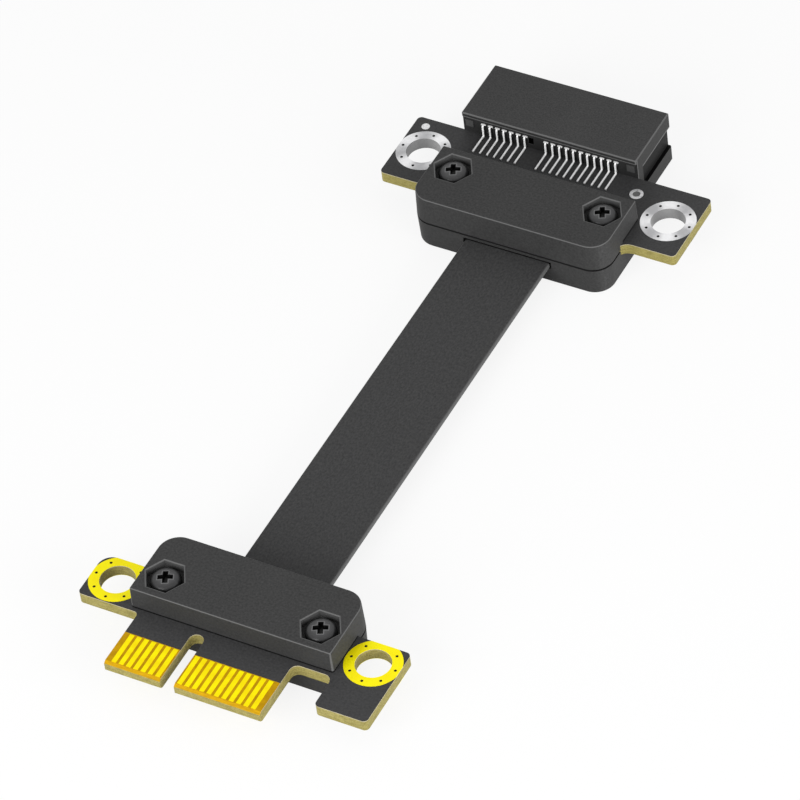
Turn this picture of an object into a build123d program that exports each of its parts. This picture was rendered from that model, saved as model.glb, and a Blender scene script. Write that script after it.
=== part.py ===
from build123d import *
import math
import os

# A short flat extension lead: a card-edge plug board and a card-edge socket board, each clamped in a
# two-part screwed shell, joined by a straight flat cable.
# Frame: X across the boards, Y from the plug's tip to the socket's mouth, Z up. The origin is on the
# surface that the part lies on, under the middle of the whole. Millimetres and degrees.

# Card edge of a single-lane card, as the standard gives it
contact_pitch = 1.0
short_side_contacts = 7
long_side_contacts = 11
key_to_contact = 1.5
tongue_margin = 1.1
notch_width = 1.9
notch_depth = 8.2
board_thickness = 1.6
tip_bevel_length = 0.4
tip_bevel_height = 0.25
finger_width = 0.62
finger_length = 4.65
finger_setback = 0.45
copper_thickness = 0.04

# Both boards
key_offset = 3.9
ear_margin = 3.5
ear_hole_radius = 2.25
ring_radius = 3.6
ring_gap = 0.05
plating_thickness = 0.06
via_count = 8
via_circle_radius = 2.95
via_radius = 0.19
neck_recess = 0.35
board_corner_radius = 0.6

# Plug board
tongue_reach = 8.5
plug_ear_depth = 6.8
plug_neck_length = 1.5
ring_margin = 0.1
long_ear_reach = 4.8
cutout_width = 5.3
cutout_radius = 1.0
shoulder_radius = 0.6
ear_round_radius = 1.8

# Socket board
socket_ear_setback = 5.55
socket_ear_depth = 11.15
socket_hole_inset = 5.55
socket_neck_radius = 1.6
round_pad_radius = 0.55
round_pad_inset_x = 1.7
round_pad_inset_y = 1.45
eyelet_outer_radius = 0.9
eyelet_inner_radius = 0.5
eyelet_offset_x = 13.5
eyelet_inset_y = 2.65

# Shell halves, the same moulding at both ends
shell_width = 27.7
shell_half_height = 4.05
shell_wall = 1.2
shell_roof = 1.2
shell_draft = 2.0
cable_corner_radius = 2.8
connector_corner_radius = 0.35
top_edge_break = 0.22
parting_groove = 0.15
shell_setback = 0.5
board_clearance = 0.1

# Shell screws and nuts, M2
screw_side_inset = 3.25
screw_inset = 3.5
screw_radius = 1.0
screw_hole_clearance = 0.1
head_radius = 1.95
head_height = 1.2
head_side_height = 0.95
head_corner_radius = 0.75
cross_length = 1.9
cross_width = 0.62
cross_depth = 0.8
cross_taper = 8.0
cross_turn = 25.0
screw_tip_chamfer = 0.2
nut_across_flats = 4.0
nut_height = 1.2
nut_chamfer = 0.25
thread_clearance = 0.03
pocket_clearance = 0.3
pocket_spare_depth = 0.05
pocket_rim = 0.1
pocket_rim_slope = 45.0
post_wall = 0.6
screw_tip_inset = 0.3

# Flat cable and its clamp
cable_span = 62.3
cable_width = 12.0
cable_thickness = 0.8
cable_edge_radius = 0.3
cable_insert = 5.2
cable_to_board = 0.1
conductor_count = 12
conductor_pitch = 0.9
conductor_radius = 0.2
conductor_clearance = 0.02
stripped_length = 2.4
joint_width = 0.6
joint_length = 1.8
window_side_gap = 0.25
window_top_gap = 0.35
rib_gap = 0.15
rib_thickness = 0.9
rib_side_inset = 0.5

# Socket housing and its contacts
housing_length = 25.0
housing_depth = 9.4
housing_height = 8.1
housing_edge_break = 0.15
lip_height = 0.65
lip_overhang = 0.3
slot_depth = 7.8
slot_clearance = 0.1
slot_end_clearance = 0.15
key_clearance = 0.15
lead_in = 0.5
lead_in_slope = 45.0
end_groove_depth = 0.5
end_groove_height = 3.4
end_groove_start = 1.4
bump_size = 1.1
bump_proud = 0.15
bump_inset = 0.95
bump_height_offset = 2.3
peep_width = 0.75
peep_height = 1.1
peep_depth = 1.0
peep_height_offset = 2.05
cell_width = 0.62
cell_rear_wall = 0.6
cell_front_wall = 0.9
contact_width = 0.25
contact_thickness = 0.15
contact_bend_radius = 0.2
contact_clearance = 0.03
contact_rise = 1.75
contact_shoulder_width = 0.65
contact_shoulder_length = 0.15
contact_preload = 0.15
contact_tip_rise = 0.65
contact_tip_length = 1.2
contact_mouth_setback = 1.4
riser_setback = 0.35
tail_reach = 3.45
lead_pad_width = 0.3
lead_pad_spare = 0.2

# Sizes that follow from the ones above: the shell ends just past its clamp rib, and the ears clear
# the shell
neck_inset = shell_wall + 2 * rib_gap + rib_thickness
shell_depth = plug_ear_depth + plug_neck_length - shell_setback + neck_inset
screw_spacing = shell_width - 2 * screw_side_inset
ear_hole_spacing = shell_width + 2 * (ring_radius + ring_gap)
board_width = ear_hole_spacing + 2 * ear_margin

# Stations along Y
overall_length = (
    tongue_reach + shell_setback + shell_depth + cable_span
    + socket_ear_setback + socket_ear_depth + housing_depth
)
tip_y = -overall_length / 2
shoulder_y = tip_y + tongue_reach
plug_ear_back_y = shoulder_y + plug_ear_depth
plug_shell_y = shoulder_y + shell_setback + shell_depth / 2
plug_exit_y = plug_shell_y + shell_depth / 2
socket_exit_y = plug_exit_y + cable_span
socket_shell_y = socket_exit_y + shell_depth / 2
socket_ear_front_y = socket_exit_y + socket_ear_setback
board_edge_y = socket_ear_front_y + socket_ear_depth
plug_hole_y = shoulder_y + ring_radius + ring_margin
plug_screw_y = plug_shell_y - shell_depth / 2 + screw_inset
plug_wire_end_y = plug_exit_y - cable_insert - stripped_length
socket_hole_y = socket_ear_front_y + socket_hole_inset
socket_screw_y = socket_shell_y + shell_depth / 2 - screw_inset
socket_wire_end_y = socket_exit_y + cable_insert + stripped_length

# Levels and places across
parting_z = max(shell_half_height, housing_height / 2)
board_top_z = parting_z + board_thickness / 2
board_bottom_z = parting_z - board_thickness / 2
cable_top_z = board_bottom_z - cable_to_board
cable_mid_z = cable_top_z - cable_thickness / 2
key_x = -key_offset
tongue_left_x = key_x - key_to_contact - (short_side_contacts - 1) * contact_pitch - tongue_margin
tongue_right_x = key_x + key_to_contact + (long_side_contacts - 1) * contact_pitch + tongue_margin
housing_x = (tongue_left_x + tongue_right_x) / 2
peep_x = key_x - key_to_contact / 2
board_edge_x = board_width / 2
neck_edge_x = shell_width / 2 - neck_recess
screw_hole_radius = screw_radius + screw_hole_clearance
pocket_across_flats = nut_across_flats + 2 * pocket_clearance
pocket_depth = nut_height + pocket_spare_depth
post_radius = pocket_across_flats / math.sqrt(3) + post_wall
slot_half_height = board_thickness / 2 + slot_clearance
contact_z = board_thickness / 2 + copper_thickness + contact_thickness / 2
pass_z = contact_z + contact_rise

ear_hole_xs = [-ear_hole_spacing / 2, ear_hole_spacing / 2]
screw_xs = [-screw_spacing / 2, screw_spacing / 2]
contact_xs = [key_x - key_to_contact - i * contact_pitch for i in range(short_side_contacts)]
contact_xs += [key_x + key_to_contact + i * contact_pitch for i in range(long_side_contacts)]
conductor_xs = [(i - (conductor_count - 1) / 2) * conductor_pitch for i in range(conductor_count)]

low = (Align.CENTER, Align.CENTER, Align.MIN)


def about_parting(shape):
    return mirror(shape, about=Plane.XY.offset(parting_z))


def group(shapes):
    return Compound([solid for shape in shapes for solid in shape.solids()])


def save(name, shape):
    export_step(shape, "parts/" + name + ".step")


# Boards


def plug_outline():
    neck_end_y = plug_exit_y - neck_inset
    corners = [
        (tongue_left_x, tip_y, 0),
        (tongue_right_x, tip_y, 0),
        (tongue_right_x, shoulder_y, cutout_radius),
        (tongue_right_x + cutout_width, shoulder_y, cutout_radius),
        (tongue_right_x + cutout_width, shoulder_y - long_ear_reach, board_corner_radius),
        (board_edge_x, shoulder_y - long_ear_reach, board_corner_radius),
        (board_edge_x, plug_ear_back_y, board_corner_radius),
        (neck_edge_x, plug_ear_back_y, board_corner_radius),
        (neck_edge_x, neck_end_y, 0),
        (-neck_edge_x, neck_end_y, 0),
        (-neck_edge_x, plug_ear_back_y, board_corner_radius),
        (-board_edge_x, plug_ear_back_y, ear_round_radius),
        (-board_edge_x, shoulder_y, board_corner_radius),
        (tongue_left_x, shoulder_y, shoulder_radius),
    ]
    return outline_face(corners)


def socket_outline():
    neck_end_y = socket_exit_y + neck_inset
    corners = [
        (-neck_edge_x, neck_end_y, 0),
        (neck_edge_x, neck_end_y, 0),
        (neck_edge_x, socket_ear_front_y, socket_neck_radius),
        (board_edge_x, socket_ear_front_y, board_corner_radius),
        (board_edge_x, board_edge_y, board_corner_radius),
        (-board_edge_x, board_edge_y, board_corner_radius),
        (-board_edge_x, socket_ear_front_y, board_corner_radius),
        (-neck_edge_x, socket_ear_front_y, socket_neck_radius),
    ]
    return outline_face(corners)


def outline_face(corners):
    points = [(x, y) for x, y, radius in corners]
    radii = [radius for x, y, radius in corners]
    return make_face(FilletPolyline(*points, radius=radii, close=True))


def board_blank(outline):
    return Pos(0, 0, board_bottom_z) * extrude(outline, amount=board_thickness)


def drilled(board, hole_y, hole_radius, screw_y):
    for x in ear_hole_xs:
        board -= Pos(x, hole_y, parting_z) * Cylinder(hole_radius, 2 * board_thickness)
    for x in screw_xs:
        board -= Pos(x, screw_y, parting_z) * Cylinder(screw_hole_radius, 2 * board_thickness)
    return board


def plug_board(outline):
    board = board_blank(outline)
    tip_edges = board.edges().filter_by(Axis.X).group_by(Axis.Y)[0]
    tip_face = board.faces().sort_by(Axis.Y)[0]
    board = chamfer(tip_edges, tip_bevel_height, tip_bevel_length, reference=tip_face)
    notch = Rectangle(notch_width, notch_depth - notch_width / 2, align=(Align.CENTER, Align.MIN))
    notch += Pos(0, notch_depth - notch_width / 2) * Circle(notch_width / 2)
    board -= Pos(key_x, tip_y, board_bottom_z) * extrude(notch, amount=board_thickness)
    return drilled(board, plug_hole_y, ear_hole_radius, plug_screw_y)


def socket_board(outline):
    board = board_blank(outline)
    return drilled(board, socket_hole_y, ear_hole_radius + plating_thickness, socket_screw_y)


def ring(outline, x, y, via_turns, plated_wall):
    # Copper on both faces of the board, cut off where the board ends
    flange = Circle(ring_radius) - Circle(ear_hole_radius)
    for turn in via_turns:
        flange -= Rot(0, 0, turn * 360 / via_count) * Pos(via_circle_radius, 0) * Circle(via_radius)
    flange = Pos(x, y) * flange & outline
    top = Pos(0, 0, board_top_z) * extrude(flange, amount=copper_thickness)
    if not plated_wall:
        return group([top, about_parting(top)])
    wall = Circle(ear_hole_radius + plating_thickness) - Circle(ear_hole_radius)
    wall = Pos(x, y, board_bottom_z) * extrude(wall, amount=board_thickness)
    return top + about_parting(top) + wall


def fingers():
    pad = Box(finger_width, finger_length, copper_thickness, align=(Align.CENTER, Align.MIN, Align.MIN))
    return group([Pos(x, tip_y + finger_setback, board_top_z) * pad for x in contact_xs])


def round_pad():
    place = Pos(-board_edge_x + round_pad_inset_x, board_edge_y - round_pad_inset_y, board_top_z)
    return place * Cylinder(round_pad_radius, copper_thickness, align=low)


def test_eyelet():
    pad = Cylinder(eyelet_outer_radius, copper_thickness, align=low)
    pad -= Cylinder(eyelet_inner_radius, copper_thickness, align=low)
    return Pos(housing_x + eyelet_offset_x, board_edge_y - eyelet_inset_y, board_top_z) * pad


# Shells, drawn with the parting plane at Z 0 and the connector side towards +Y


def shell_outline():
    outline = Rectangle(shell_width, shell_depth)
    outline = fillet(outline.vertices().group_by(Axis.Y)[0], cable_corner_radius)
    return fillet(outline.vertices().group_by(Axis.Y)[-1], connector_corner_radius)


def shell_half():
    outline = shell_outline()
    solid = extrude(outline, amount=shell_half_height, taper=shell_draft)
    solid = fillet(solid.faces().sort_by(Axis.Z)[-1].edges(), top_edge_break)
    solid = chamfer(solid.faces().sort_by(Axis.Z)[0].edges(), parting_groove)
    room = extrude(offset(outline, amount=-shell_wall), amount=shell_half_height - shell_roof)
    half = solid - room
    screw_y = shell_depth / 2 - screw_inset
    post_height = shell_half_height - board_thickness / 2
    hexagon = RegularPolygon(pocket_across_flats / 2, 6, major_radius=False)
    rim = extrude(hexagon, amount=pocket_rim, taper=-pocket_rim_slope)
    pocket = extrude(hexagon, amount=pocket_depth) + Pos(0, 0, pocket_depth - pocket_rim) * rim
    for x in screw_xs:
        post = Pos(x, screw_y, board_thickness / 2) * Cylinder(post_radius, post_height, align=low)
        half += post & solid
    for x in screw_xs:
        half -= Pos(x, screw_y) * Cylinder(screw_hole_radius, shell_half_height, align=low)
        half -= Pos(x, screw_y, shell_half_height - pocket_depth) * pocket
    return half


def upper_half():
    # A rib under the roof presses the cable onto the lower half
    bottom_z = cable_top_z - parting_z
    rib = Box(
        cable_width - 2 * rib_side_inset,
        rib_thickness,
        shell_half_height - shell_roof / 2 - bottom_z,
        align=(Align.CENTER, Align.MIN, Align.MIN),
    )
    return shell_half() + Pos(0, -shell_depth / 2 + shell_wall + rib_gap, bottom_z) * rib


def lower_half():
    # The cable enters by a window in the wall, and lies on a cradle inside
    half = Rot(0, 180, 0) * shell_half()
    window_width = cable_width + 2 * window_side_gap
    seat_z = cable_top_z - cable_thickness - parting_z
    cradle = Box(
        window_width,
        shell_wall / 2 + 2 * rib_gap + rib_thickness,
        seat_z + shell_half_height - shell_roof / 2,
        align=(Align.CENTER, Align.MIN, Align.MAX),
    )
    half += Pos(0, -shell_depth / 2 + shell_wall / 2, seat_z) * cradle
    window = Box(
        window_width,
        shell_wall,
        cable_thickness + window_top_gap,
        align=(Align.CENTER, Align.MIN, Align.MIN),
    )
    return half - Pos(0, -shell_depth / 2, seat_z) * window


def shell_pair(outline, y, turn):
    # Both halves are relieved round the board that passes through their walls
    board_space = extrude(offset(outline, amount=board_clearance), amount=board_thickness)
    board_space = Pos(0, 0, board_bottom_z) * board_space
    place = Pos(0, y, parting_z) * Rot(0, 0, turn)
    return place * upper_half() - board_space, place * lower_half() - board_space


# Screws and nuts


def shell_screw():
    # Drawn with the seat of its head at Z 0
    length = 2 * shell_half_height - pocket_depth - pocket_spare_depth - screw_tip_inset
    corners = [
        (0, head_height, 0),
        (0, -length, 0),
        (screw_radius - screw_tip_chamfer, -length, 0),
        (screw_radius, -length + screw_tip_chamfer, 0),
        (screw_radius, 0, 0),
        (head_radius, 0, 0),
        (head_radius, head_side_height, head_corner_radius),
    ]
    screw = revolve(Plane.XZ * outline_face(corners), Axis.Z)
    for turn in (cross_turn, cross_turn + 90):
        arm = extrude(Rectangle(cross_length, cross_width), amount=cross_depth, taper=cross_taper)
        screw -= Pos(0, 0, head_height) * Rot(0, 0, turn) * Rot(180, 0, 0) * arm
    return screw


def shell_nut():
    corner_radius = nut_across_flats / math.sqrt(3)
    hexagon = extrude(RegularPolygon(nut_across_flats / 2, 6, major_radius=False), amount=nut_height)
    rounding = Cylinder(corner_radius, nut_height, align=low)
    rounding = chamfer(rounding.edges().filter_by(GeomType.CIRCLE), nut_chamfer)
    bore = Cylinder(screw_radius + thread_clearance, nut_height, align=low)
    return (hexagon & rounding) - bore


def screws(y):
    seat_z = parting_z + shell_half_height - pocket_depth
    return group([Pos(x, y, seat_z) * shell_screw() for x in screw_xs])


def nuts(y):
    nut_z = parting_z - shell_half_height + pocket_spare_depth
    return group([Pos(x, y, nut_z) * shell_nut() for x in screw_xs])


# Flat cable


def along_y(face, start_y, end_y):
    return Pos(0, start_y, 0) * extrude(Plane.XZ * face, amount=start_y - end_y)


def cable_jacket():
    section = RectangleRounded(cable_width, cable_thickness, cable_edge_radius)
    bore = Circle(conductor_radius + conductor_clearance)
    section -= [Pos(x, 0) * bore for x in conductor_xs]
    jacket = along_y(section, plug_exit_y - cable_insert, socket_exit_y + cable_insert)
    return Pos(0, 0, cable_mid_z) * jacket


def cable_conductors():
    wire = along_y(Circle(conductor_radius), plug_wire_end_y, socket_wire_end_y)
    return group([Pos(x, 0, cable_mid_z) * wire for x in conductor_xs])


def cable_joints(wire_end_y, inwards):
    # Solder between each conductor and the board's underside
    middle_y = wire_end_y + inwards * joint_length / 2
    height = board_bottom_z - cable_mid_z
    joint = Box(joint_width, joint_length, height, align=low)
    joint -= along_y(Circle(conductor_radius), joint_length, -joint_length)
    return group([Pos(x, middle_y, cable_mid_z) * joint for x in conductor_xs])


# Socket housing, drawn with the board's back edge at Y 0 and the parting plane at Z 0


def socket_housing():
    across = (Align.CENTER, Align.MIN, Align.CENTER)
    main = Box(housing_length, lip_overhang + housing_depth, housing_height, align=across)
    main = Pos(0, -lip_overhang, 0) * chamfer(main.edges(), housing_edge_break)
    rear_height = housing_height - 2 * lip_height
    main -= Pos(0, -lip_overhang, 0) * Box(housing_length, lip_overhang, rear_height, align=across)
    for side in (-1, 1):
        groove = Box(2 * end_groove_depth, housing_depth, end_groove_height, align=across)
        main -= Pos(side * housing_length / 2, end_groove_start, 0) * groove
    main = Pos(housing_x, 0, 0) * main
    for side in (-1, 1):
        main += [Pos(0, 0, side * bump_height_offset) * bump for bump in end_bumps()]
    main -= slot_space()
    for side in (-1, 1):
        main -= Pos(peep_x, 0, side * peep_height_offset) * peep_hole()
    cells = [Pos(x, 0, 0) * contact_cell() for x in contact_xs]
    main -= cells
    main -= [mirror(cell, about=Plane.XY) for cell in cells]
    return Pos(0, board_edge_y, parting_z) * main


def end_bumps():
    bump = Box(bump_size, bump_proud, bump_size, align=(Align.CENTER, Align.MAX, Align.CENTER))
    reach = housing_length / 2 - bump_inset
    return [Pos(housing_x + side * reach, 0, 0) * bump for side in (-1, 1)]


def peep_hole():
    return Box(peep_width, peep_depth, peep_height, align=(Align.CENTER, Align.MIN, Align.CENTER))


def slot_space():
    # The card's slot, with a sloping mouth and a key rib left standing in it
    left_x = tongue_left_x - slot_end_clearance
    right_x = tongue_right_x + slot_end_clearance
    width = right_x - left_x
    mouth = Plane.XZ.offset(-housing_depth)
    room = mouth * extrude(Rectangle(width, 2 * slot_half_height), amount=slot_depth)
    mouth_size = Rectangle(width + 2 * lead_in, 2 * slot_half_height + 2 * lead_in)
    room += mouth * extrude(mouth_size, amount=lead_in, taper=lead_in_slope)
    room = Pos((left_x + right_x) / 2, 0, 0) * room
    key = Box(
        notch_width - 2 * key_clearance,
        housing_depth,
        housing_height,
        align=(Align.CENTER, Align.MIN, Align.CENTER),
    )
    return room - Pos(key_x, 0, 0) * key


def contact_cell():
    # A channel over the slot for one contact's beam, and the tight way through the rear wall for its
    # shank
    start_y = housing_depth - slot_depth + cell_rear_wall
    end_y = housing_depth - cell_front_wall
    top_z = pass_z + contact_thickness / 2 + contact_clearance
    cell = Box(cell_width, end_y - start_y, top_z, align=(Align.CENTER, Align.MIN, Align.MIN))
    cell = Pos(0, start_y, 0) * cell
    shank = Box(
        contact_width + 2 * contact_clearance,
        start_y,
        contact_thickness + 2 * contact_clearance,
        align=(Align.CENTER, Align.MIN, Align.CENTER),
    )
    return cell + Pos(0, 0, pass_z) * shank


def contact():
    # Tail on the board, riser, shank through the housing, and the sprung beam over the slot
    contact_y = housing_depth - contact_mouth_setback - contact_tip_length
    contact_point_z = slot_half_height - contact_preload + contact_thickness / 2
    shank_end_y = housing_depth - slot_depth + 2 * cell_rear_wall
    path = FilletPolyline(
        (-tail_reach, contact_z),
        (-riser_setback, contact_z),
        (-riser_setback, pass_z),
        (shank_end_y, pass_z),
        (contact_y, contact_point_z),
        (contact_y + contact_tip_length, contact_point_z + contact_tip_rise),
        radius=contact_bend_radius,
    )
    profile = trace(path, line_width=contact_thickness)
    strip = Plane.YZ * extrude(profile, amount=contact_width / 2, both=True)
    shoulder = Box(contact_shoulder_width, contact_shoulder_length, contact_thickness)
    return strip + Pos(0, -contact_shoulder_length / 2, pass_z) * shoulder


def socket_contacts():
    return group([Pos(x, board_edge_y, parting_z) * contact() for x in contact_xs])


def lead_pads():
    length = tail_reach - riser_setback + lead_pad_spare
    pad = Box(lead_pad_width, length, copper_thickness, align=(Align.CENTER, Align.MIN, Align.MIN))
    start_y = board_edge_y - tail_reach - lead_pad_spare / 2
    return group([Pos(x, start_y, board_top_z) * pad for x in contact_xs])


def main():
    os.makedirs("parts", exist_ok=True)

    plug_face = plug_outline()
    all_vias = range(via_count)
    plug_vias = [turn for turn in all_vias if turn != via_count // 4]
    save("plug_board", plug_board(plug_face))
    upper_fingers = fingers()
    save("plug_upper_fingers", upper_fingers)
    save("plug_lower_fingers", about_parting(upper_fingers))
    save("plug_left_ring", ring(plug_face, ear_hole_xs[0], plug_hole_y, plug_vias, False))
    save("plug_right_ring", ring(plug_face, ear_hole_xs[1], plug_hole_y, plug_vias, False))
    plug_upper, plug_lower = shell_pair(plug_face, plug_shell_y, 180)
    save("plug_upper_shell", plug_upper)
    save("plug_lower_shell", plug_lower)
    save("plug_screws", screws(plug_screw_y))
    save("plug_nuts", nuts(plug_screw_y))
    save("plug_cable_joints", cable_joints(plug_wire_end_y, 1))

    socket_face = socket_outline()
    save("socket_board", socket_board(socket_face))
    save("socket_left_ring", ring(socket_face, ear_hole_xs[0], socket_hole_y, all_vias, True))
    save("socket_right_ring", ring(socket_face, ear_hole_xs[1], socket_hole_y, all_vias, True))
    save("socket_round_pad", round_pad())
    save("socket_test_eyelet", test_eyelet())
    socket_upper, socket_lower = shell_pair(socket_face, socket_shell_y, 0)
    save("socket_upper_shell", socket_upper)
    save("socket_lower_shell", socket_lower)
    save("socket_screws", screws(socket_screw_y))
    save("socket_nuts", nuts(socket_screw_y))
    save("socket_cable_joints", cable_joints(socket_wire_end_y, -1))

    save("socket_housing", socket_housing())
    upper_contacts = socket_contacts()
    save("socket_upper_contacts", upper_contacts)
    save("socket_lower_contacts", about_parting(upper_contacts))
    upper_pads = lead_pads()
    save("socket_upper_pads", upper_pads)
    save("socket_lower_pads", about_parting(upper_pads))

    save("cable_jacket", cable_jacket())
    save("cable_conductors", cable_conductors())


main()
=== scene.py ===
import math

import bpy
from mathutils import Matrix, Vector


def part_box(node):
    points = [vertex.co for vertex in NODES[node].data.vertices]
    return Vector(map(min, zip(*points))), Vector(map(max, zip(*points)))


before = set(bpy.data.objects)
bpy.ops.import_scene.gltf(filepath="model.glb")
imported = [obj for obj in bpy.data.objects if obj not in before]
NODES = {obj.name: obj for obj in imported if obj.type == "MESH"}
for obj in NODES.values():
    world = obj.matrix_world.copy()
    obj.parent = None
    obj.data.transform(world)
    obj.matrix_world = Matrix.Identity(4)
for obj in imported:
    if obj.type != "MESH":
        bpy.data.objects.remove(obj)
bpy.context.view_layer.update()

MM = 0.001

# Places that the materials need, read from the frame
FINGER_LOW, FINGER_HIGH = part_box("plug_upper_fingers")
PLUG_RING_LOW, PLUG_RING_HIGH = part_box("plug_right_ring")
SOCKET_RING_LOW, SOCKET_RING_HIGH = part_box("socket_right_ring")
PLUG_SCREW_LOW, PLUG_SCREW_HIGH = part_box("plug_screws")
SOCKET_SCREW_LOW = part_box("socket_screws")[0]
PLUG_SHELL_LOW, PLUG_SHELL_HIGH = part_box("plug_upper_shell")
SOCKET_SHELL_LOW, SOCKET_SHELL_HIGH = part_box("socket_upper_shell")
HOUSING_LOW, HOUSING_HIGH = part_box("socket_housing")
EYELET_LOW, EYELET_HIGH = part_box("socket_test_eyelet")
BOARD_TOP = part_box("plug_board")[1].z
SHELL_TOP = PLUG_SHELL_HIGH.z
PARTING_Z = SHELL_TOP / 2
RING_RADIUS = (SOCKET_RING_HIGH.y - SOCKET_RING_LOW.y) / 2
RING_X = PLUG_RING_LOW.x + RING_RADIUS
PLUG_RING_Y = PLUG_RING_LOW.y + RING_RADIUS
SOCKET_RING_Y = SOCKET_RING_LOW.y + RING_RADIUS
HEAD_RADIUS = (PLUG_SCREW_HIGH.y - PLUG_SCREW_LOW.y) / 2
SCREW_X = PLUG_SCREW_HIGH.x - HEAD_RADIUS
PLUG_SCREW_Y = PLUG_SCREW_LOW.y + HEAD_RADIUS
SOCKET_SCREW_Y = SOCKET_SCREW_LOW.y + HEAD_RADIUS
EYELET_X = (EYELET_LOW.x + EYELET_HIGH.x) / 2
EYELET_Y = (EYELET_LOW.y + EYELET_HIGH.y) / 2
EYELET_RADIUS = (EYELET_HIGH.x - EYELET_LOW.x) / 2
HOUSING_X = (HOUSING_LOW.x + HOUSING_HIGH.x) / 2
HOUSING_HALF_LENGTH = (HOUSING_HIGH.x - HOUSING_LOW.x) / 2

# Sizes that the part's source gives these solids
LIP_OVERHANG = 0.3 * MM
SOCKET_EAR_DEPTH = 11.15 * MM
FINGERS_TO_KEY = 7.81 * MM
PEEP_TO_KEY = 0.75 * MM
GROOVE_TO_REAR = 1.4 * MM
GROOVE_REACH = 1.7 * MM
BOSS_PROUD = 0.15 * MM
CONDUCTOR_PITCH = 0.9 * MM
CROSS_TURN = math.radians(25)
HOUSING_REAR_Y = HOUSING_LOW.y + LIP_OVERHANG
SOCKET_EAR_Y = HOUSING_REAR_Y - SOCKET_EAR_DEPTH
GROOVE_START_Y = HOUSING_REAR_Y + GROOVE_TO_REAR
PEEP_X = FINGER_LOW.x + FINGERS_TO_KEY - PEEP_TO_KEY

# How far from a face a point still counts as lying on it, and how nearly a normal must point
# along an axis for its face to count as square to it
SKIN = 0.05 * MM
SQUARE = 0.9

# Moulded plastic: the size of its flow marks, the share of its tone that its darkest grains
# keep, and how much smoother and rougher than stated its grains are
FLOW_SIZE = 6 * MM
DARKEST_SHARE = 0.48
SMOOTHER = 0.06
ROUGHER = 0.08

# Marks on the shells, painted light, shade and highlights: a line's size is half its width
POCKET_REACH = 2.4 * MM
POCKET_DEPTH = 1.3 * MM
POCKET_RIM_LINE = 0.05 * MM
CORNER_REACH = 0.6 * MM
PARTING_LINE = 0.15 * MM
BOARD_LINE = 0.22 * MM

# Marks on the card socket's housing, painted shade and painted highlights
LIP_EDGE_DROP = 0.59 * MM
LIP_EDGE_LINE = 0.07 * MM
BOSS_SKIN = 0.03 * MM
END_REACH = 0.55 * MM
GROOVE_EDGE_RISE = 0.1 * MM
GROOVE_EDGE_LINE = 0.09 * MM
REAR_CORNER_INSET = 0.07 * MM
REAR_CORNER_LINE = 0.08 * MM
PEEP_REACH = 0.45 * MM
PEEP_INSET = 0.1 * MM
PEEP_DEPTH = 1.2 * MM
PEEP_DROP = 1.0 * MM

# Metal: the depth of its marks, the sectors of a brushed ring, and how far the painted highlight
# on the dome of a screw's head reaches, from full to none, as shares of its radius
FINE_BUMP = 0.01 * MM
RING_SECTORS = 4
DOME_HIGHLIGHT_INNER = 0.35
DOME_HIGHLIGHT_OUTER = 0.95

# Marks on the boards and the cable, with a painted highlight and painted shade among them
TONGUE_MARGIN = 0.85 * MM
LACQUER_START = 0.12 * MM
LAMINATE_HIGHLIGHT_LINE = 0.11 * MM
RING_DRILLING_INSET = 0.3 * MM
MOUTH_DEPTH = 0.15 * MM

# The middle parts of a noise's range that are spread over 0 to 1
WIDE = (0.3, 0.7)
MEDIUM = (0.32, 0.68)
NARROW = (0.35, 0.65)

# Darkest and lightest colour of each surface, as linear red, green and blue
LACQUER = ((0.033, 0.033, 0.0335), (0.059, 0.059, 0.06))
LAMINATE = ((0.195, 0.166, 0.047), (0.335, 0.292, 0.098))
PLATED_LAMINATE = ((0.45, 0.24, 0.0), (0.56, 0.31, 0.0))
FINGER_GOLD = ((0.94, 0.75, 0.0), (0.99, 0.88, 0.0))
RING_GOLD = ((0.95, 0.78, 0.0), (1.0, 0.94, 0.0))
RING_TIN = ((0.45, 0.45, 0.46), (0.9, 0.9, 0.91))
SCREW_OXIDE = ((0.022, 0.022, 0.0225), (0.045, 0.045, 0.046))
NUT_OXIDE = ((0.05, 0.05, 0.052), (0.11, 0.11, 0.113))
CONTACT_TIN = ((0.95, 0.95, 0.95), (1.0, 1.0, 1.0))
PAD_TIN = ((0.6, 0.6, 0.61), (0.85, 0.85, 0.86))
# The pads under the leads are darkened, as a painted shadow beside each lead
SHADED_PAD_TIN = ((0.06, 0.06, 0.061), (0.12, 0.12, 0.122))
SOLDER = ((0.5, 0.5, 0.51), (0.75, 0.75, 0.76))
WIRE_TIN = ((0.55, 0.5, 0.45), (0.75, 0.72, 0.68))
JACKET = ((0.033, 0.033, 0.0335), (0.062, 0.062, 0.0625))

# Colours of single marks, all painted highlights
LAMINATE_HIGHLIGHT = (0.44, 0.4, 0.3)
DOME_HIGHLIGHT = (0.095, 0.095, 0.097)
CROSS_HIGHLIGHT = (0.17, 0.17, 0.173)

# The stage and its lamps, in metres and watts
WHITE = (1.0, 1.0, 1.0, 1.0)
WORLD_STRENGTH = 0.52
FLOOR_SIZE = 4.0
FLOOR_GAP = 0.02 * MM
FLOOR_COLOR = (0.92, 0.92, 0.92, 1.0)
FLOOR_WHITE_SHARE = 0.85
LAMPS = {
    "key": {"place": (-0.1, -0.46, 0.2), "size": 0.4, "power": 2.2},
    "fill": {"place": (0.47, -0.08, 0.1), "size": 0.4, "power": 2.3},
}

# The camera fitted to the photograph: direction to the camera in degrees, what it looks at,
# and how far away it is
CAMERA_AZIMUTH = -56.63
CAMERA_ELEVATION = 45.57
CAMERA_ROLL = -8.1
CAMERA_TARGET = Vector((0.367, -1.954, 4.85)) * MM
CAMERA_DISTANCE = 705.8 * MM
PIXELS_PER_MM = 8.11
IMAGE_WIDTH = 800
SENSOR_WIDTH = 36.0
CLIP_START = 0.01
CLIP_END = 10.0

# The mix node's colour sockets share their names with others, so they go by number
MIX_INPUT_A = 6
MIX_INPUT_B = 7
MIX_OUTPUT = 2


# Building node materials


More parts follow.
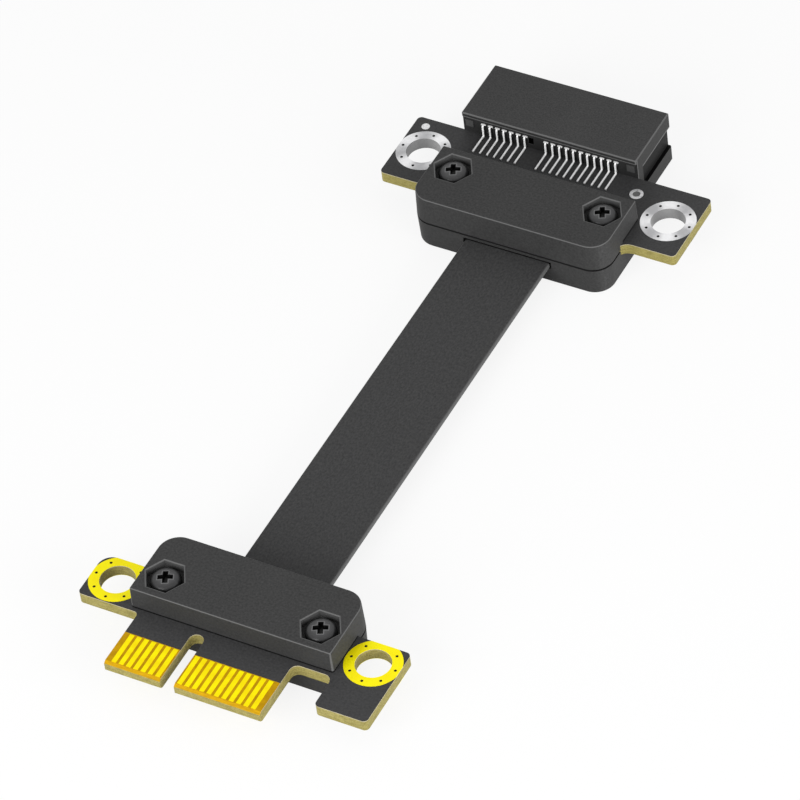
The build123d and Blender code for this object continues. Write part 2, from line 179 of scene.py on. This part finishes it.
class Graph:
    """Builds one node material. Sockets and numbers can be handed in alike."""

    def __init__(self, name):
        self.material = bpy.data.materials.new(name)
        self.material.use_nodes = True
        self.tree = self.material.node_tree
        self.shader = self.tree.nodes["Principled BSDF"]
        self.place = self.node("ShaderNodeTexCoord").outputs["Object"]
        self.x, self.y, self.z = self.split(self.place)
        self.nx, self.ny, self.nz = self.split(self.node("ShaderNodeNewGeometry").outputs["Normal"])

    def node(self, kind, **settings):
        made = self.tree.nodes.new(kind)
        for key, value in settings.items():
            setattr(made, key, value)
        return made

    def feed(self, socket, value):
        if isinstance(value, bpy.types.NodeSocket):
            self.tree.links.new(value, socket)
        elif isinstance(value, tuple) and socket.type == "RGBA":
            socket.default_value = (*value, 1.0)
        else:
            socket.default_value = value

    def math(self, operation, a, b=0.0):
        made = self.node("ShaderNodeMath", operation=operation)
        self.feed(made.inputs[0], a)
        self.feed(made.inputs[1], b)
        return made.outputs[0]

    def add(self, a, b):
        return self.math("ADD", a, b)

    def minus(self, a, b):
        return self.math("SUBTRACT", a, b)

    def times(self, a, b):
        return self.math("MULTIPLY", a, b)

    def absolute(self, a):
        return self.math("ABSOLUTE", a)

    def smaller(self, a, b):
        return self.math("MINIMUM", a, b)

    def larger(self, a, b):
        return self.math("MAXIMUM", a, b)

    def above(self, a, b):
        return self.math("GREATER_THAN", a, b)

    def below(self, a, b):
        return self.math("LESS_THAN", a, b)

    def length(self, a, b):
        return self.math("SQRT", self.add(self.times(a, a), self.times(b, b)))

    def all_of(self, mask, *others):
        """1 where every mask is 1."""
        for other in others:
            mask = self.times(mask, other)
        return mask

    def weigh(self, a, share_a, b, share_b):
        return self.add(self.times(a, share_a), self.times(b, share_b))

    def split(self, vector):
        made = self.node("ShaderNodeSeparateXYZ")
        self.feed(made.inputs[0], vector)
        return made.outputs

    def join(self, x, y, z):
        made = self.node("ShaderNodeCombineXYZ")
        for socket, value in zip(made.inputs, (x, y, z)):
            self.feed(socket, value)
        return made.outputs[0]

    def mix(self, factor, a, b):
        """Colour a where the factor is 0, and colour b where it is 1."""
        made = self.node("ShaderNodeMix", data_type="RGBA", clamp_factor=True)
        self.feed(made.inputs["Factor"], factor)
        self.feed(made.inputs[MIX_INPUT_A], a)
        self.feed(made.inputs[MIX_INPUT_B], b)
        return made.outputs[MIX_OUTPUT]

    def spread(self, value, low, high, new_low=0.0, new_high=1.0):
        made = self.node("ShaderNodeMapRange", clamp=True)
        for socket, number in zip(made.inputs, (value, low, high, new_low, new_high)):
            self.feed(socket, number)
        return made.outputs[0]

    def fall(self, value, low, high):
        """1 up to the low value, fading out to 0 at the high one."""
        return self.spread(value, low, high, 1.0, 0.0)

    def within(self, value, middle, reach, soft=0.02 * MM):
        """1 where a value lies within reach of the middle, fading out over the soft width."""
        return self.fall(self.absolute(self.minus(value, middle)), reach - soft, reach + soft)

    def noise(self, size, stretch=(1.0, 1.0, 1.0), detail=3.0, roughness=0.55, place=None):
        """Noise with features about size metres across, stretched along each axis."""
        scaled = self.node("ShaderNodeVectorMath", operation="DIVIDE")
        self.feed(scaled.inputs[0], place or self.place)
        self.feed(scaled.inputs[1], tuple(size * s for s in stretch))
        made = self.node("ShaderNodeTexNoise")
        self.feed(made.inputs["Vector"], scaled.outputs[0])
        made.inputs["Scale"].default_value = 1.0
        made.inputs["Detail"].default_value = detail
        made.inputs["Roughness"].default_value = roughness
        return made.outputs[0]

    def bump(self, height, distance, strength=0.5):
        made = self.node("ShaderNodeBump")
        self.feed(made.inputs["Height"], height)
        made.inputs["Distance"].default_value = distance
        made.inputs["Strength"].default_value = strength
        self.feed(self.shader.inputs["Normal"], made.outputs[0])

    def finish(self, color, texture, smoothest, roughest, metallic=0.0, specular=0.5):
        """Sets the shader. Its roughness follows a texture, from the smoothest to the roughest."""
        self.feed(self.shader.inputs["Base Color"], color)
        self.feed(self.shader.inputs["Roughness"], self.spread(texture, *WIDE, smoothest, roughest))
        self.shader.inputs["Metallic"].default_value = metallic
        self.shader.inputs["Specular IOR Level"].default_value = specular
        return self.material


def grey(value):
    return value, value, value


def dress(material, *names):
    """Gives each named node one material."""
    for name in names:
        slots = NODES[name].data.materials
        slots.clear()
        slots.append(material)


# Where things lie


def offset_from_screw(g):
    """Offsets across and along from the nearest of the four screw axes."""
    axis_y = g.spread(g.above(g.y, 0.0), 0.0, 1.0, PLUG_SCREW_Y, SOCKET_SCREW_Y)
    dx = g.minus(g.x, g.times(g.math("SIGN", g.x), SCREW_X))
    return dx, g.minus(g.y, axis_y)


def hexagon_reach(g, dx, dy):
    """Distance from a hexagon's middle towards the side that the offset points at, measured
    square to that side."""
    reach = g.absolute(dy)
    for turn in (math.radians(-30), math.radians(30)):
        across = g.weigh(dx, math.cos(turn), dy, math.sin(turn))
        reach = g.larger(reach, g.absolute(across))
    return reach


def cross_mark(g, dx, dy, arm, half_width, soft):
    """1 inside the driver's cross of a screw."""
    along = g.absolute(g.weigh(dx, math.cos(CROSS_TURN), dy, math.sin(CROSS_TURN)))
    across = g.absolute(g.minus(g.times(dy, math.cos(CROSS_TURN)), g.times(dx, math.sin(CROSS_TURN))))
    inside_length = g.fall(g.larger(along, across), arm - soft, arm + soft)
    inside_width = g.fall(g.smaller(along, across), half_width - soft, half_width + soft)
    return g.all_of(inside_length, inside_width)


def distance_round(g, centre_x, centre_y):
    """Distance from, and angle round, the nearer of two upright axes that mirror each other in X."""
    dx = g.minus(g.absolute(g.x), centre_x)
    dy = g.minus(g.y, centre_y)
    return g.length(dx, dy), g.math("ARCTAN2", dy, dx)


def turned_marks(g, distance, angle, size):
    """Fine marks that run round an axis, as a lathe or a brush leaves them."""
    return g.noise(size, detail=2.0, place=g.join(distance, g.times(angle, size), 0.0))


def highlit_edges(g):
    """1 along the rounded top edges, which get a painted highlight."""
    sloping = g.all_of(g.spread(g.nz, 0.4, 0.5), g.fall(g.nz, 0.82, 0.9))
    return g.all_of(sloping, g.above(g.z, SHELL_TOP - CORNER_REACH))


def highlit_corners(g):
    """1 along upright corner edges, whose faces point both across and along, for a painted highlight.
    """
    return g.spread(g.absolute(g.times(g.nx, g.ny)), 0.15, 0.4)


# Materials


def moulded_plastic(g, marks, tone, grain, depth, rough):
    """Black moulded plastic: a fine spark-eroded texture, faint flow marks, and the marks handed
    in, each a mask and the grey that it shows."""
    grains = g.noise(grain, detail=4.0, roughness=0.7)
    flow = g.noise(FLOW_SIZE, stretch=(1.0, 2.5, 1.0), detail=2.0)
    shade = g.weigh(g.spread(grains, *MEDIUM), 0.75, flow, 0.25)
    color = g.mix(shade, grey(DARKEST_SHARE * tone), grey(tone))
    for mask, mark in marks:
        color = g.mix(mask, color, grey(mark))
    g.bump(grains, depth)
    return g.finish(color, grains, rough - SMOOTHER, rough + ROUGHER, specular=0.05)


def shell_material():
    """Plastic of the two-part shells, with painted shade on the seams and front walls, painted light
    in the screw pockets, and painted highlights on edges and pocket rims.
    """
    g = Graph("shell_plastic")
    dx, dy = offset_from_screw(g)
    reach = hexagon_reach(g, dx, dy)
    # Painted light: the screw pockets get a flat grey, lighter than the shaded grains around them
    pocket_light = g.all_of(g.above(g.z, SHELL_TOP - POCKET_DEPTH), g.below(reach, POCKET_REACH - SKIN))
    # Painted highlights on the pocket rims, the rounded top edges and the upright end corners
    flat_top = g.all_of(g.above(g.nz, 0.95), g.above(g.z, SHELL_TOP - SKIN))
    pocket_rim = g.all_of(flat_top, g.within(reach, POCKET_REACH, POCKET_RIM_LINE, soft=0.03 * MM))
    at_plug = g.below(g.y, PLUG_SHELL_LOW.y + CORNER_REACH)
    at_socket = g.above(g.y, SOCKET_SHELL_HIGH.y - CORNER_REACH)
    corners = g.all_of(highlit_corners(g), g.larger(at_plug, at_socket))
    edge_highlight = g.larger(highlit_edges(g), g.larger(corners, pocket_rim))
    # Painted shade: the groove all round where the halves meet, and the seam beside the ears where
    # the board comes out, are painted near black
    parting = g.within(g.z, PARTING_Z, PARTING_LINE, soft=0.03 * MM)
    at_ear = g.larger(g.below(g.y, PLUG_RING_HIGH.y), g.above(g.y, SOCKET_EAR_Y))
    at_board = g.all_of(at_ear, g.within(g.z, BOARD_TOP, BOARD_LINE, soft=0.05 * MM))
    upright = g.below(g.absolute(g.nz), SQUARE)
    seam_shade = g.all_of(upright, g.larger(parting, at_board))
    # Painted shade: the front walls, which face -Y, are darkened against the tops
    front_shade = g.times(g.fall(g.ny, -0.9, -0.6), 0.45)
    marks = [(front_shade, 0.018), (pocket_light, 0.065), (edge_highlight, 0.115), (seam_shade, 0.004)]
    return moulded_plastic(g, marks, tone=0.067, grain=0.3 * MM, depth=0.02 * MM, rough=0.5)


def housing_material():
    """Plastic of the card socket's housing, with painted shade on its rear wall, lip and ends, in its
    grooves and peep hole, and painted highlights along its edges.
    """
    g = Graph("housing_plastic")
    # Painted shade on the walls that face -Y, the rear wall and the lip
    faces_rear = g.below(g.ny, -SQUARE)
    rear_wall = g.all_of(faces_rear, g.within(g.y, HOUSING_REAR_Y, SKIN, soft=0.01 * MM))
    boss_y = HOUSING_REAR_Y - BOSS_PROUD
    boss = g.all_of(faces_rear, g.within(g.y, boss_y, BOSS_SKIN, soft=0.01 * MM))
    lip = g.all_of(faces_rear, g.within(g.y, HOUSING_LOW.y, SKIN, soft=0.01 * MM))
    # Painted highlights along the lip's edge, the rear corners of the ends and the groove's upper
    # edge
    lip_edge = g.all_of(lip, g.within(g.z, SHELL_TOP - LIP_EDGE_DROP, LIP_EDGE_LINE))
    from_middle = g.absolute(g.minus(g.x, HOUSING_X))
    at_end = g.above(from_middle, HOUSING_HALF_LENGTH - END_REACH)
    end_face = g.all_of(at_end, g.above(g.absolute(g.nx), SQUARE))
    rear_corner = g.within(g.y, HOUSING_REAR_Y + REAR_CORNER_INSET, REAR_CORNER_LINE)
    rear_corner = g.all_of(end_face, rear_corner)
    past_start = g.above(g.y, GROOVE_START_Y)
    in_groove = g.all_of(at_end, g.within(g.z, PARTING_Z, GROOVE_REACH), past_start)
    # The ledges of the groove lie level, and its floor stands upright; both are painted dark as shade
    level = g.above(g.absolute(g.nz), SQUARE)
    ledge = g.all_of(at_end, level, g.within(g.z, PARTING_Z, GROOVE_REACH + SKIN))
    edge_z = PARTING_Z + GROOVE_REACH + GROOVE_EDGE_RISE
    groove_edge = g.all_of(end_face, g.within(g.z, edge_z, GROOVE_EDGE_LINE), past_start)
    hole = g.all_of(
        g.within(g.x, PEEP_X, PEEP_REACH),
        g.above(g.y, HOUSING_REAR_Y + PEEP_INSET),
        g.below(g.y, HOUSING_REAR_Y + PEEP_DEPTH),
        g.below(g.z, SHELL_TOP - PEEP_DROP),
    )
    edge_highlight = g.larger(highlit_edges(g), highlit_corners(g))
    # Painted shade on the rear wall, the lip, the end faces, in the groove, on its ledges and in the
    # peep hole; then the painted highlights
    marks = [
        (rear_wall, 0.028),
        (boss, 0.062),
        (g.times(lip, 0.8), 0.02),
        (g.times(end_face, 0.45), 0.02),
        (in_groove, 0.014),
        (ledge, 0.004),
        (hole, 0.001),
        (lip_edge, 0.11),
        (rear_corner, 0.13),
        (groove_edge, 0.15),
        (edge_highlight, 0.11),
    ]
    return moulded_plastic(g, marks, tone=0.073, grain=0.22 * MM, depth=0.012 * MM, rough=0.46)


def board_material(name, is_plug):
    """Black lacquer over the flat faces and bare laminate on every sawn edge."""
    g = Graph(name)
    flatness = g.absolute(g.nz)
    grain = g.noise(0.3 * MM, detail=3.0, roughness=0.65)
    cloud = g.noise(5 * MM, detail=2.0)
    lacquer = g.mix(g.weigh(g.spread(grain, *MEDIUM), 0.7, cloud, 0.3), *LACQUER)
    plies = g.noise(0.9 * MM, stretch=(1.0, 1.0, 0.13))
    fibres = g.noise(0.12 * MM, stretch=(1.0, 1.0, 2.5), detail=2.0)
    laminate = g.mix(g.spread(g.weigh(plies, 0.6, fibres, 0.4), 0.38, 0.62), *LAMINATE)
    # Painted highlight along the top edge of the laminate
    laminate_highlight = g.within(g.z, BOARD_TOP, LAMINATE_HIGHLIGHT_LINE)
    laminate = g.mix(g.times(laminate_highlight, 0.75), laminate, LAMINATE_HIGHLIGHT)
    # Painted shade: the lacquer seen through the small plated holes in the rings is painted near
    # black
    from_ring = distance_round(g, RING_X, PLUG_RING_Y if is_plug else SOCKET_RING_Y)[0]
    lacquer = g.mix(g.below(from_ring, RING_RADIUS - RING_DRILLING_INSET), lacquer, grey(0.006))
    if is_plug:
        # Plated laminate between the fingers, ahead of where the lacquer starts
        zone = g.all_of(
            g.below(g.y, FINGER_HIGH.y + LACQUER_START),
            g.above(g.x, FINGER_LOW.x - TONGUE_MARGIN),
            g.below(g.x, FINGER_HIGH.x + TONGUE_MARGIN),
        )
        plated = g.mix(g.spread(plies, *NARROW), *PLATED_LAMINATE)
        lacquer = g.mix(zone, lacquer, plated)
        bevel = g.all_of(g.spread(flatness, 0.3, 0.5), zone)
        laminate = g.mix(bevel, laminate, plated)
    else:
        # The board inside the small eyelet is a lighter grey
        from_eyelet = g.length(g.minus(g.x, EYELET_X), g.minus(g.y, EYELET_Y))
        lacquer = g.mix(g.below(from_eyelet, EYELET_RADIUS), lacquer, grey(0.15))
    color = g.mix(g.spread(flatness, 0.9, 0.97), laminate, lacquer)
    g.bump(g.weigh(grain, 0.4, fibres, 0.6), 0.012 * MM)
    return g.finish(color, grain, 0.42, 0.54, specular=0.12)


def gold_finger_material():
    """Plated contact fingers with faint lengthwise wipe marks."""
    g = Graph("gold_finger_plate")
    wipes = g.noise(0.16 * MM, stretch=(0.5, 14.0, 1.0))
    cloud = g.noise(1.6 * MM, detail=2.0)
    color = g.mix(g.spread(cloud, *NARROW), *FINGER_GOLD)
    g.bump(wipes, FINE_BUMP, strength=0.4)
    return g.finish(color, wipes, 0.34, 0.5, metallic=0.3, specular=0.1)


def ring_material(name, colors, centre_y, metallic, sector_reflection_share, wall_shade_share):
    """Plated ring: brushed round its hole, with broad sectors of painted reflection and painted shade
    on the hole's wall.
    """
    g = Graph(name)
    distance, angle = distance_round(g, RING_X, centre_y)
    # Painted reflection: broad sectors round the hole, lighter and darker
    sectors = g.math("SINE", g.times(angle, RING_SECTORS))
    turned = turned_marks(g, distance, angle, 0.06 * MM)
    cloud = g.noise(1.2 * MM)
    shade = g.add(g.times(sectors, sector_reflection_share), g.weigh(cloud, 0.6, turned, 0.25))
    color = g.mix(g.spread(shade, 0.15, 0.75), *colors)
    # Painted shade on the wall of the hole
    wall = g.fall(g.absolute(g.nz), 0.4, 0.6)
    color = g.mix(g.times(wall, wall_shade_share), color, grey(0.2))
    g.bump(turned, FINE_BUMP, strength=0.4)
    return g.finish(color, turned, 0.28, 0.42, metallic=metallic, specular=0.2)


def screw_material():
    """Black oxide steel: turned marks, a painted highlight on the dome, and painted shade in the
    driver's cross, whose edges get a painted highlight."""
    g = Graph("black_oxide_steel")
    dx, dy = offset_from_screw(g)
    distance = g.length(dx, dy)
    turned = turned_marks(g, distance, g.math("ARCTAN2", dy, dx), 0.05 * MM)
    cloud = g.noise(0.7 * MM)
    color = g.mix(g.spread(g.weigh(cloud, 0.5, turned, 0.5), *NARROW), *SCREW_OXIDE)
    # Painted highlight on the top of the domed head
    dome_highlight = g.fall(distance, DOME_HIGHLIGHT_INNER * HEAD_RADIUS, DOME_HIGHLIGHT_OUTER * HEAD_RADIUS)
    color = g.mix(g.times(dome_highlight, 0.85), color, DOME_HIGHLIGHT)
    # Painted highlight along the edges of the driver's cross
    edge_highlight = cross_mark(g, dx, dy, arm=1.05 * MM, half_width=0.45 * MM, soft=0.05 * MM)
    color = g.mix(edge_highlight, color, CROSS_HIGHLIGHT)
    # Painted shade inside the driver's cross
    cross_shade = cross_mark(g, dx, dy, arm=0.96 * MM, half_width=0.36 * MM, soft=0.03 * MM)
    color = g.mix(cross_shade, color, grey(0.008))
    g.bump(turned, FINE_BUMP)
    return g.finish(color, turned, 0.28, 0.42, metallic=0.5, specular=0.3)


def nut_material():
    """Black oxide steel of the nuts, plain and mottled."""
    g = Graph("black_nut_steel")
    cloud = g.noise(0.5 * MM, detail=4.0)
    color = g.mix(g.spread(cloud, *NARROW), *NUT_OXIDE)
    g.bump(cloud, FINE_BUMP, strength=0.4)
    return g.finish(color, cloud, 0.3, 0.48, metallic=0.7)


def tin_material(name, colors, metallic, shaded_sides=False):
    """Tinned metal with a soft mottle, and painted shade on the sides of a contact strip."""
    g = Graph(name)
    mottle = g.noise(0.35 * MM, detail=4.0, roughness=0.65)
    g.bump(mottle, FINE_BUMP, strength=0.4)
    color = g.mix(g.spread(mottle, *NARROW), *colors)
    # Painted shade on the side faces of the strip
    if shaded_sides:
        color = g.mix(g.spread(g.absolute(g.nx), 0.6, 0.8), color, grey(0.12))
    return g.finish(color, mottle, 0.22, 0.4, metallic=metallic)


def cable_material():
    """Soft flat jacket: a fine grain, the faintest ribs over its conductors, painted highlights on
    its narrow edges, and painted shade, black, where it goes into the shells."""
    g = Graph("flat_cable_jacket")
    grain = g.noise(0.26 * MM, stretch=(1.0, 1.6, 1.0), detail=4.0, roughness=0.7)
    ribs = g.math("COSINE", g.times(g.x, 2 * math.pi / CONDUCTOR_PITCH))
    g.bump(g.weigh(grain, 0.8, ribs, 0.1), 0.02 * MM)
    color = g.mix(g.spread(grain, *MEDIUM), *JACKET)
    # Painted highlights on the narrow side edges
    color = g.mix(g.spread(g.absolute(g.nx), 0.3, 0.8), color, grey(0.1))
    # Painted shade: black inside the shells
    in_socket = g.above(g.y, SOCKET_SHELL_LOW.y + MOUTH_DEPTH)
    in_plug = g.below(g.y, PLUG_SHELL_HIGH.y - MOUTH_DEPTH)
    color = g.mix(g.larger(in_socket, in_plug), color, grey(0.004))
    return g.finish(color, grain, 0.52, 0.66, specular=0.12)


def set_materials():
    dress(board_material("plug_board_lacquer", is_plug=True), "plug_board")
    dress(board_material("socket_board_lacquer", is_plug=False), "socket_board")
    dress(gold_finger_material(), "plug_upper_fingers", "plug_lower_fingers")
    gold = ring_material(
        "gold_ring_plate", RING_GOLD, PLUG_RING_Y, metallic=0.3, sector_reflection_share=0.06, wall_shade_share=0.0
    )
    dress(gold, "plug_left_ring", "plug_right_ring")
    tin = ring_material(
        "tinned_ring_plate", RING_TIN, SOCKET_RING_Y, metallic=0.6, sector_reflection_share=0.3, wall_shade_share=0.85
    )
    dress(tin, "socket_left_ring", "socket_right_ring")
    shells = ("plug_upper_shell", "plug_lower_shell", "socket_upper_shell", "socket_lower_shell")
    dress(shell_material(), *shells)
    dress(housing_material(), "socket_housing")
    dress(screw_material(), "plug_screws", "socket_screws")
    dress(nut_material(), "plug_nuts", "socket_nuts")
    contact_metal = tin_material("tinned_contact_metal", CONTACT_TIN, metallic=0.0, shaded_sides=True)
    dress(contact_metal, "socket_upper_contacts", "socket_lower_contacts")
    pad_metal = tin_material("tinned_pad_metal", PAD_TIN, metallic=0.6)
    dress(pad_metal, "socket_round_pad", "socket_test_eyelet")
    # Painted shadow: the pads under the leads are dark
    shaded_lead_pads = tin_material("shaded_pad_metal", SHADED_PAD_TIN, metallic=0.6)
    dress(shaded_lead_pads, "socket_upper_pads", "socket_lower_pads")
    solder = tin_material("solder_metal", SOLDER, metallic=0.8)
    dress(solder, "plug_cable_joints", "socket_cable_joints")
    dress(tin_material("tinned_wire_metal", WIRE_TIN, metallic=0.8), "cable_conductors")
    dress(cable_material(), "cable_jacket")


# Stage, lights and camera


def area_light(name, place, size, power):
    """A round lamp that points at the middle of the part."""
    data = bpy.data.lights.new(name, "AREA")
    data.shape = "DISK"
    data.size = size
    data.energy = power
    lamp = bpy.data.objects.new(name, data)
    bpy.context.scene.collection.objects.link(lamp)
    lamp.location = place
    lamp.rotation_mode = "QUATERNION"
    lamp.rotation_quaternion = (-Vector(place)).to_track_quat("-Z", "Y")


def make_lights():
    for name, settings in LAMPS.items():
        area_light(name, **settings)


def shows_white(tree):
    """1 on the rays that show a backdrop itself: the camera's, and those of mirror-like and
    clear surfaces."""
    path = tree.nodes.new("ShaderNodeLightPath")
    value = path.outputs["Is Camera Ray"]
    for name in ("Is Glossy Ray", "Is Transmission Ray"):
        larger = tree.nodes.new("ShaderNodeMath")
        larger.operation = "MAXIMUM"
        tree.links.new(value, larger.inputs[0])
        tree.links.new(path.outputs[name], larger.inputs[1])
        value = larger.outputs[0]
    return value


def blend_in(tree, factor, shader, white, output):
    """Sends the shader to the output, with the white one over it by the factor."""
    blend = tree.nodes.new("ShaderNodeMixShader")
    for socket, source in zip(blend.inputs, (factor, shader, white)):
        tree.links.new(source, socket)
    tree.links.new(blend.outputs[0], output)


def make_floor():
    bpy.ops.mesh.primitive_plane_add(size=FLOOR_SIZE, location=(0, 0, -FLOOR_GAP))
    floor = bpy.context.object
    floor.name = "floor"
    material = bpy.data.materials.new("floor_paper")
    material.use_nodes = True
    tree = material.node_tree
    shader = tree.nodes["Principled BSDF"]
    shader.inputs["Base Color"].default_value = FLOOR_COLOR
    shader.inputs["Roughness"].default_value = 0.9
    shader.inputs["Specular IOR Level"].default_value = 0.1
    share = tree.nodes.new("ShaderNodeMath")
    share.operation = "MULTIPLY"
    tree.links.new(shows_white(tree), share.inputs[0])
    share.inputs[1].default_value = FLOOR_WHITE_SHARE
    white = tree.nodes.new("ShaderNodeEmission")
    output = tree.nodes["Material Output"].inputs[0]
    blend_in(tree, share.outputs[0], shader.outputs[0], white.outputs[0], output)
    floor.data.materials.append(material)


def make_world():
    world = bpy.data.worlds.new("studio")
    bpy.context.scene.world = world
    world.use_nodes = True
    tree = world.node_tree
    light = tree.nodes["Background"]
    light.inputs["Color"].default_value = WHITE
    light.inputs["Strength"].default_value = WORLD_STRENGTH
    white = tree.nodes.new("ShaderNodeBackground")
    white.inputs["Color"].default_value = WHITE
    output = tree.nodes["World Output"].inputs[0]
    blend_in(tree, shows_white(tree), light.outputs[0], white.outputs[0], output)


def make_camera():
    azimuth = math.radians(CAMERA_AZIMUTH)
    elevation = math.radians(CAMERA_ELEVATION)
    level = math.cos(elevation)
    back = Vector((level * math.cos(azimuth), level * math.sin(azimuth), math.sin(elevation)))
    right = Vector((0, 0, 1)).cross(back).normalized()
    right = Matrix.Rotation(math.radians(CAMERA_ROLL), 3, back) @ right
    up = back.cross(right)
    data = bpy.data.cameras.new("camera")
    data.sensor_width = SENSOR_WIDTH
    data.lens = SENSOR_WIDTH * PIXELS_PER_MM * CAMERA_DISTANCE / MM / IMAGE_WIDTH
    data.clip_start = CLIP_START
    data.clip_end = CLIP_END
    camera = bpy.data.objects.new("camera", data)
    bpy.context.scene.collection.objects.link(camera)
    turn = Matrix((right, up, back)).transposed().to_4x4()
    camera.matrix_world = Matrix.Translation(CAMERA_TARGET + back * CAMERA_DISTANCE) @ turn
    bpy.context.scene.camera = camera


set_materials()
make_floor()
make_world()
make_lights()
make_camera()
bpy.context.scene.view_settings.view_transform = "Standard"
